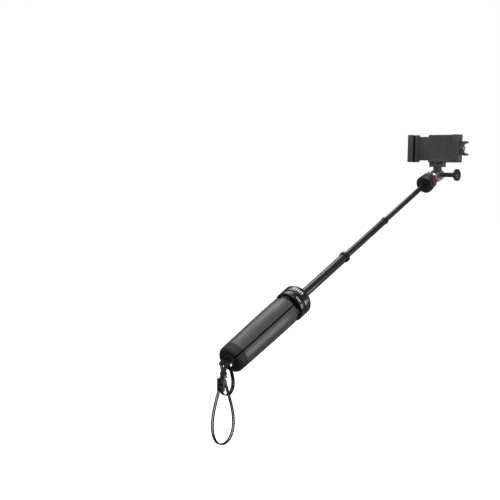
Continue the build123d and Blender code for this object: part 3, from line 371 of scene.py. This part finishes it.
flange = turned([(5.72, 170.0), (6.7, 170.0), (7.2, 170.5), (7.2, 172.2), (7.0, 172.5), (7.2, 172.8),
                 (7.2, 174.4), (5.8, 176.0), (4.46, 176.0), (4.46, 168.0), (5.08, 168.0), (5.08, 175.05),
                 (5.72, 175.05)], 0.16)
hand_over("stage_a_flange", flange, POLE, "flange_a")
lip = turned([(4.42, 270.4), (4.8, 270.4), (5.0, 270.8), (5.0, 274.0), (4.2, 275.0), (3.51, 275.0),
              (3.51, 263.0), (3.88, 263.0), (3.88, 274.05), (4.42, 274.05)], 0.1)
hand_over("stage_b_lip", lip, POLE, "lip_b")

# %% [markdown]
# ### The ball head
# Under the ball sits a knurled locking collar. Knurling is hundreds of small raised tiles. Cutting the
# band into rows with a bisecting plane and insetting every face by itself gives them at once, and they
# are real geometry, so they catch the light from any side.

# %% Knurled collar under the ball
def knurl(shape, low, high, radius, rows, thickness, depth):
    """Raise a tile on every face of a turned band, after cutting the band into rows."""
    for row in range(1, rows):
        height = low + (high - low) * row / rows
        bmesh.ops.bisect_plane(shape, geom=shape.verts[:] + shape.edges[:] + shape.faces[:],
                               plane_co=(0, 0, height), plane_no=(0, 0, 1), dist=0.001)
    tiles = band(shape, low, high, radius)
    bmesh.ops.inset_individual(shape, faces=tiles, thickness=thickness, depth=depth, use_even_offset=True)
    return len(tiles)


COLLAR_TILES = 60
knurled = turned([(3.75, 380.0), (11.7, 380.0), (12.5, 380.8), (12.5, 386.3), (11.6, 389.6), (9.68, 389.6),
                  (9.68, 381.9), (3.75, 381.9)], 0.3, steps=COLLAR_TILES)
print("tiles", knurl(knurled, 381.1, 386.1, 12.3, 4, 0.26, 0.22))
hand_over("knurled_head_collar", knurled, POLE, "head_collar")

# %% [markdown]
# The two red rings are the only colour on the stick. The lower one belongs to the cup and the upper one
# to the cap that pans on it. The upper ring and the cap have a notch for the ball's neck, so they keep
# the CAD shape: a copy of the node's mesh is merged, its flat faces are joined, and its sharp edges are
# bevelled. The same helper rounds every other moulded or cast piece.

# %% Round the edges of a CAD node
def merged(node):
    """A bmesh of a CAD node with its doubles merged and its flat faces joined."""
    shape = bmesh.new()
    shape.from_mesh(frame["nodes"][node].data)
    bmesh.ops.remove_doubles(shape, verts=shape.verts, dist=0.004 * MM)
    bmesh.ops.dissolve_limit(shape, angle_limit=radians(0.5), verts=shape.verts, edges=shape.edges)
    return shape


def rounded(node, name, width_mm, segments=2, angle=28.0, shape=None, slot=None):
    """Bevel every edge sharper than angle on a CAD node's mesh, or on a shape made from it."""
    shape = shape or merged(node)
    sharp = [edge for edge in shape.edges
             if len(edge.link_faces) == 2 and edge.calc_face_angle() > radians(angle)]
    bmesh.ops.bevel(shape, geom=sharp, offset=width_mm * MM, offset_type="OFFSET", affect="EDGES",
                    segments=segments, profile=0.5, clamp_overlap=True, material=-1)
    return hand_over_placed(name, shape, node, slot)


# %% Red rings and pan cap
red = turned([(9.62, 389.95), (11.1, 389.95), (11.6, 390.4), (11.6, 391.0), (11.35, 391.25), (11.6, 391.5),
              (11.6, 392.1), (11.15, 392.6), (9.62, 392.6)], 0.18)
hand_over("red_cup_ring", red, POLE, "red_ring_lower")
rounded("red_ring_upper", "red_cap_ring", 0.35, 3)
rounded("pan_cap", "ball_cap", 0.25)

# %% [markdown]
# The ball and its neck are one turned steel piece. Its outline is an arc worked out by a loop, from the
# pole at the bottom to where the neck leaves the ball, and a straight neck above.

# %% Ball and neck
BALL_R = 7.0
NECK_R = 3.6
ball_outline = []
for step in range(25):
    angle = pi * step / 24
    if BALL_R * sin(angle) >= NECK_R or angle < pi / 2:
        ball_outline.append((BALL_R * sin(angle), -BALL_R * cos(angle)))
ball_outline += [(NECK_R, 6.1), (NECK_R, 13.5), (0, 13.5)]
hand_over("polished_ball", turned(ball_outline, closed=False, steps=64), HEAD, "tilt_ball")
rounded("tilt_fork", "cast_fork", 0.45, 3)
rounded("tilt_nut", "hinge_nut", 0.3)

# %% [markdown]
# ### The tilt screw and its knob
# A long thumb screw crosses the fork. Its stem carries a flared knob with a fluted rim. The flutes are
# every fourth face of the rim, inset and pushed in.

# %% Thumb screw
stem = turned([(0, -11.7), (2.1, -11.7), (2.5, -11.3), (2.5, 8.0), (3.25, 8.0), (3.25, 30.3), (0, 30.3)],
              0.2, closed=False, steps=48)
hand_over("screw_stem", stem, SIDE, "tilt_screw")

RIM_FACES = 72
knob = turned([(0, 30.4), (3.28, 30.4), (3.28, 25.8), (3.8, 25.8), (4.7, 27.9), (7.2, 29.4), (8.0, 30.1),
               (8.0, 33.0), (7.0, 34.1), (5.2, 34.2), (4.8, 34.7), (0, 34.8)], 0.22, closed=False,
              steps=RIM_FACES)
rim = sorted(band(knob, 30.2, 33.0, 7.8), key=lambda face: face.calc_center_median().xy.angle_signed((1, 0)))
flutes = [face for index, face in enumerate(rim) if index % 4 < 2]
bmesh.ops.inset_region(knob, faces=flutes, thickness=0.05, depth=-0.5, use_even_offset=True)
hand_over("fluted_knob", knob, SIDE, "tilt_knob")

# %% [markdown]
# ### The phone clamp
# Jaws, housing, cover, arm and the wing knob are injection mouldings, so what they need is generous
# rounded edges. Wide bevels go where a hand or a phone touches.

# %% Clamp mouldings
for node, name, width, segments in (
    ("clamp_housing", "slide_housing", 0.5, 2),
    ("clamp_cover", "ribbed_back_plate", 0.3, 2),
    ("clamp_arm", "tilt_arm", 0.8, 3),
    ("arm_screws", "arm_screw_heads", 0.15, 2),
    ("fixed_jaw", "right_jaw", 0.7, 3),
    ("fixed_jaw_pad", "right_jaw_rubber", 0.25, 2),
    ("sliding_jaw", "left_jaw", 0.7, 3),
    ("sliding_jaw_pad", "left_jaw_rubber", 0.25, 2),
    ("slide_plate", "jaw_slide_plate", 0.2, 2),
):
    rounded(node, name, width, segments)
rounded("wing_knob", "two_wing_knob", 0.6, 3, slot="clamp_black")

# %% [markdown]
# Two closing springs sit on the rods behind the back plate. They keep the CAD coils.

# %% Closing springs
springs = hand_over_placed("closing_springs", merged("jaw_springs"), "jaw_springs")
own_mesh(springs)

# %% [markdown]
# The wing knob's screw end is capped with a small bright dome.

# %% Wing knob cap
WING = place(HINGE + Vector((-12.2, 0, 37.0)) * MM, -ACROSS, Vector((1, 0, 0)))
cap = turned([(0, 48.5), (2.9, 48.5), (2.9, 48.9), (2.3, 49.35), (1.2, 49.4), (1.0, 49.1), (0, 49.1)], 0.12,
             closed=False, steps=48)
hand_over("bright_wing_cap", cap, WING, "wing_cap")

# %% [markdown]
# ### The folding legs
# Each leg is a third of a tube with a rubber foot, and together they make the grip. Shells, feet and
# the end cap with its two ears keep their CAD shape and get softened edges.

# The top of each shell slopes in under the collar. A bisecting plane adds an edge across the shell, and
# the skin above it is drawn in towards the pole.

# %% Legs, feet and end cap
SLOPE_FOOT = 38.5
SHELL_TOP = 43.0
TOP_DROP = 2.4
for number in (1, 2, 3):
    shell = merged(f"leg_{number}_shell")
    bmesh.ops.bisect_plane(shell, geom=shell.verts[:] + shell.edges[:] + shell.faces[:],
                           plane_co=ALONG * SLOPE_FOOT * MM, plane_no=ALONG, dist=0.001 * MM)
    for vertex in shell.verts:
        height = vertex.co.dot(ALONG)
        out = vertex.co - ALONG * height
        if height > (SLOPE_FOOT + 0.1) * MM and out.length > 15.9 * MM:
            share = (height / MM - SLOPE_FOOT) / (SHELL_TOP - SLOPE_FOOT)
            vertex.co -= out.normalized() * min(share, 1.0) * TOP_DROP * MM
    rounded(f"leg_{number}_shell", f"leg_{number}_moulding", 0.6, 3, shape=shell)
    rounded(f"leg_{number}_foot", f"leg_{number}_rubber_foot", 0.8, 3)
rounded("core_end_cap", "strap_end_cap", 0.4)
rounded("leg_hub", "leg_hub_moulding", 0.3)

# %% [markdown]
# ## The wrist strap
# A cord is a fixed length of something flexible. Two braided cords loop over the pin, go down through a
# crimp and hang in a long drop. The route is a list of points in the strap's upright plane, X and Z in
# millimetres from the pin, and one open NURBS spline of order 3 runs through it. The order and the end
# setting are given after the points, because set before, they don't hold.

# %% The routes
CORD_ROUTE = [
    (1.2, -13.0), (1.5, -9.0), (2.9, -4.5), (3.6, 0.4), (1.7, 3.6), (-1.7, 3.6), (-3.6, 0.4),
    (-2.9, -4.5), (-1.5, -9.5), (-2.0, -16.5), (-6.5, -28.0), (-12.5, -43.0), (-17.0, -60.0),
    (-17.0, -77.0), (-10.0, -89.5), (2.0, -93.5), (13.5, -88.0), (19.0, -75.0), (17.5, -58.5),
    (12.0, -43.0), (6.0, -29.0), (2.2, -18.0),
]
WEB_ROUTE = [
    (-7.6, -9.5), (-4.6, -4.5), (-2.9, -0.5), (-1.6, 2.5), (1.6, 2.5), (2.9, -0.5), (5.0, -6.5),
    (8.0, -14.0), (9.6, -22.5), (7.6, -30.8), (0.6, -35.4), (-7.2, -33.6), (-11.4, -27.0),
    (-10.8, -18.5), (-8.3, -10.8),
]


def centreline(route, y_mm, points_per_span):
    """Points along the NURBS spline of a route that lies in an upright plane, in metres."""
    curve = bpy.data.curves.new("route", "CURVE")
    curve.dimensions = "3D"
    spline = curve.splines.new("NURBS")
    spline.points.add(len(route) - 1)
    for point, (x, z) in zip(spline.points, route):
        point.co = (EYE.x + x * MM, y_mm * MM, EYE.z + z * MM, 1)
    spline.order_u = 3
    spline.use_endpoint_u = True
    spline.resolution_u = points_per_span
    holder = bpy.data.objects.new("route", curve)
    bpy.context.scene.collection.objects.link(holder)
    bpy.context.view_layer.update()
    line = bpy.data.meshes.new_from_object(holder)
    found = [vertex.co.copy() for vertex in line.vertices]
    bpy.data.objects.remove(holder)
    bpy.data.curves.remove(curve)
    bpy.data.meshes.remove(line)
    return found


def length_of(points):
    """Length of a run of points, in metres."""
    return sum((after - before).length for before, after in zip(points, points[1:]))


# %% [markdown]
# A braid is two families of yarns that wind opposite ways. Each yarn's angle grows with the distance
# along the cord, and its radius rises and falls once per crossing, so the families pass over and under
# each other in turn. Yarns are poly curves with a round bevel, made a mesh at the end. The same idea
# gives the webbing: yarns side by side that wave up and down, and cross yarns that wave the other way.

# %% Yarns into a mesh
def stations(points):
    """Distance, point, side and normal at each point of a line in an upright plane."""
    rows = []
    distance = 0.0
    for index, point in enumerate(points):
        before, after = points[max(index - 1, 0)], points[min(index + 1, len(points) - 1)]
        if index:
            distance += (point - points[index - 1]).length
        along = (after - before).normalized()
        rows.append((distance, point, ACROSS, along.cross(ACROSS)))
    return rows


def yarns_to_mesh(name, yarns, radius_mm, rounding):
    """A mesh of round yarns, each a list of points in metres."""
    curve = bpy.data.curves.new(name, "CURVE")
    curve.dimensions = "3D"
    curve.bevel_depth = radius_mm * MM
    curve.bevel_resolution = rounding
    curve.use_fill_caps = True
    for yarn in yarns:
        spline = curve.splines.new("POLY")
        spline.points.add(len(yarn) - 1)
        for point, co in zip(spline.points, yarn):
            point.co = (*co, 1)
    holder = bpy.data.objects.new(name, curve)
    bpy.context.scene.collection.objects.link(holder)
    bpy.context.view_layer.update()
    mesh = bpy.data.meshes.new_from_object(holder)
    bpy.data.objects.remove(holder)
    bpy.data.curves.remove(curve)
    return mesh


def woven_piece(name, meshes, node):
    """Join yarn meshes in one piece that stands for a CAD node."""
    shape = bmesh.new()
    for mesh in meshes:
        shape.from_mesh(mesh)
        bpy.data.meshes.remove(mesh)
    return hand_over_placed(name, shape, node)


# %% Crimp and buckle
buckle = rounded("strap_buckle", "ladder_buckle", 0.5, 3, slot="frame_black")
crimp = bmesh.new()
bmesh.ops.create_cube(crimp, size=1, matrix=Matrix.Diagonal((7.0, 7.0, 7.0, 1)))
upright_edges = [edge for edge in crimp.edges if abs(edge.verts[0].co.z - edge.verts[1].co.z) > 1]
bmesh.ops.bevel(crimp, geom=upright_edges, offset=1.7, offset_type="OFFSET", affect="EDGES", segments=5,
                profile=0.5, material=-1)
for height in (-2.0, -1.3, 1.3, 2.0):
    bmesh.ops.bisect_plane(crimp, geom=crimp.verts[:] + crimp.edges[:] + crimp.faces[:],
                           plane_co=(0, 0, height), plane_no=(0, 0, 1), dist=0.001)
waist = [vertex for vertex in crimp.verts if abs(vertex.co.z) < 1.5]
bmesh.ops.scale(crimp, verts=waist, vec=(0.9, 0.9, 1))
rims = [edge for edge in crimp.edges if edge.calc_face_angle(0) > radians(50)]
bmesh.ops.bevel(crimp, geom=rims, offset=0.5, offset_type="OFFSET", affect="EDGES", segments=3,
                profile=0.5, clamp_overlap=True, material=-1)
crimp_spot = place(EYE + Vector((0, 3.3, -13.0)) * MM, Vector((0, 0, 1)), Vector((1, 0, 0)))
crimp_piece = hand_over("pressed_crimp", crimp, crimp_spot, "cord_crimp")

# %% The braided cords
YARN_R = 0.36
YARN_RING = 0.52
YARN_WAVE = 0.12
BRAID_PITCH = 7.5
for node, y_mm in (("wrist_cord_inner", 2.0), ("wrist_cord_outer", 4.6)):
    path = centreline(CORD_ROUTE, y_mm, 28)
    rows = stations(path)
    yarns = []
    for way in (1, -1):
        for carrier in range(4):
            yarn = []
            for distance, point, side, normal in rows:
                turn = 2 * pi * distance / (BRAID_PITCH * MM)
                angle = way * turn + carrier * pi / 2
                reach = (YARN_RING + way * YARN_WAVE * cos(4 * turn)) * MM
                yarn.append(point + (side * cos(angle) + normal * sin(angle)) * reach)
            yarns.append(yarn)
    core = yarns_to_mesh(node + "_core", [path], 0.6, 1)
    woven_piece(node.replace("cord", "braid"), [yarns_to_mesh(node, yarns, YARN_R, 1), core], node)
    print(node, "length", round(length_of(path), 4), "m")

# %% The webbing
WARPS = 9
WARP_STEP = 0.61
WARP_R = 0.31
WEFT_R = 0.2
PICK = 1.1
web_path = centreline(WEB_ROUTE, -3.3, 28)
web_rows = stations(web_path)
warp = []
for index in range(WARPS):
    offset = (index - (WARPS - 1) / 2) * WARP_STEP * MM
    way = 1 if index % 2 else -1
    warp.append([point + side * offset + normal * (way * 0.19 * MM * cos(pi * distance / (PICK * MM)))
                 for distance, point, side, normal in web_rows])
weft = []
next_pick = 0.0
for distance, point, side, normal in web_rows:
    if distance < next_pick:
        continue
    way = 1 if len(weft) % 2 else -1
    next_pick = (len(weft) + 1) * PICK * MM
    weft.append([point + side * ((step - WARPS / 2) * WARP_STEP * 0.98 * MM)
                 - normal * (way * (1 if step % 2 else -1) * 0.12 * MM) for step in range(WARPS + 1)])
webbing = woven_piece("woven_webbing", [yarns_to_mesh("warp", warp, WARP_R, 1), yarns_to_mesh("weft", weft, WEFT_R, 1)],
                      "strap_webbing")
print("webbing length", round(length_of(web_path), 4), "m,", len(weft), "cross yarns")

# %% [markdown]
# ## Floor and light
# The stick is held in the air, so the floor is only a white ground well below it. Black plastic shows
# whatever it reflects, so a white room would turn it grey. The room is therefore white only to the
# camera: reflections and soft light see a dim room, and the shape is drawn by a few large panels.

# %% Floor
floor_shape = bmesh.new()
bmesh.ops.create_grid(floor_shape, x_segments=1, y_segments=1, size=12.0)
floor_mesh = bpy.data.meshes.new("floor")
floor_shape.to_mesh(floor_mesh)
floor_shape.free()
floor_mesh.transform(Matrix.Translation((0, 0, -0.45)))
floor = bpy.data.objects.new("floor", floor_mesh)
bpy.context.scene.collection.objects.link(floor)
floor_paint = bpy.data.materials.new("pale_floor")
floor_paint.use_nodes = True
floor_paint.node_tree.nodes["Principled BSDF"].inputs["Base Color"].default_value = (0.9, 0.9, 0.9, 1)
floor_paint.node_tree.nodes["Principled BSDF"].inputs["Roughness"].default_value = 0.9
floor_paint.node_tree.nodes["Principled BSDF"].inputs["Emission Color"].default_value = (1, 1, 1, 1)
floor_paint.node_tree.nodes["Principled BSDF"].inputs["Emission Strength"].default_value = 1.0
floor_mesh.materials.append(floor_paint)
floor.visible_diffuse = False
floor.visible_glossy = False

# %% Light
world = bpy.data.worlds.new("studio")
world.use_nodes = True
dim_room = world.node_tree.nodes["Background"]
dim_room.inputs["Color"].default_value = (1, 1, 1, 1)
dim_room.inputs["Strength"].default_value = 0.22
white_room = world.node_tree.nodes.new("ShaderNodeBackground")
white_room.inputs["Color"].default_value = (1, 1, 1, 1)
white_room.inputs["Strength"].default_value = 1.0
ray = world.node_tree.nodes.new("ShaderNodeLightPath")
choice = world.node_tree.nodes.new("ShaderNodeMixShader")
world.node_tree.links.new(ray.outputs["Is Camera Ray"], choice.inputs[0])
world.node_tree.links.new(dim_room.outputs["Background"], choice.inputs[1])
world.node_tree.links.new(white_room.outputs["Background"], choice.inputs[2])
world.node_tree.links.new(choice.outputs["Shader"], world.node_tree.nodes["World Output"].inputs["Surface"])
bpy.context.scene.world = world
bpy.context.scene.view_settings.view_transform = "Standard"


def panel(name, offset, size, watts):
    """A square area light that faces the middle of the stick."""
    light = bpy.data.lights.new(name, "AREA")
    light.energy = watts
    light.size = size
    lamp = bpy.data.objects.new(name, light)
    bpy.context.scene.collection.objects.link(lamp)
    lamp.location = AIM + Vector(offset)
    lamp.rotation_euler = (-Vector(offset)).to_track_quat("-Z", "Y").to_euler()


panel("key", (-0.9, -0.5, 1.1), 0.7, 14)
panel("low_side", (0.5, -1.2, -0.1), 0.5, 6)
panel("overhead", (0.3, 0.4, 1.3), 0.9, 10)
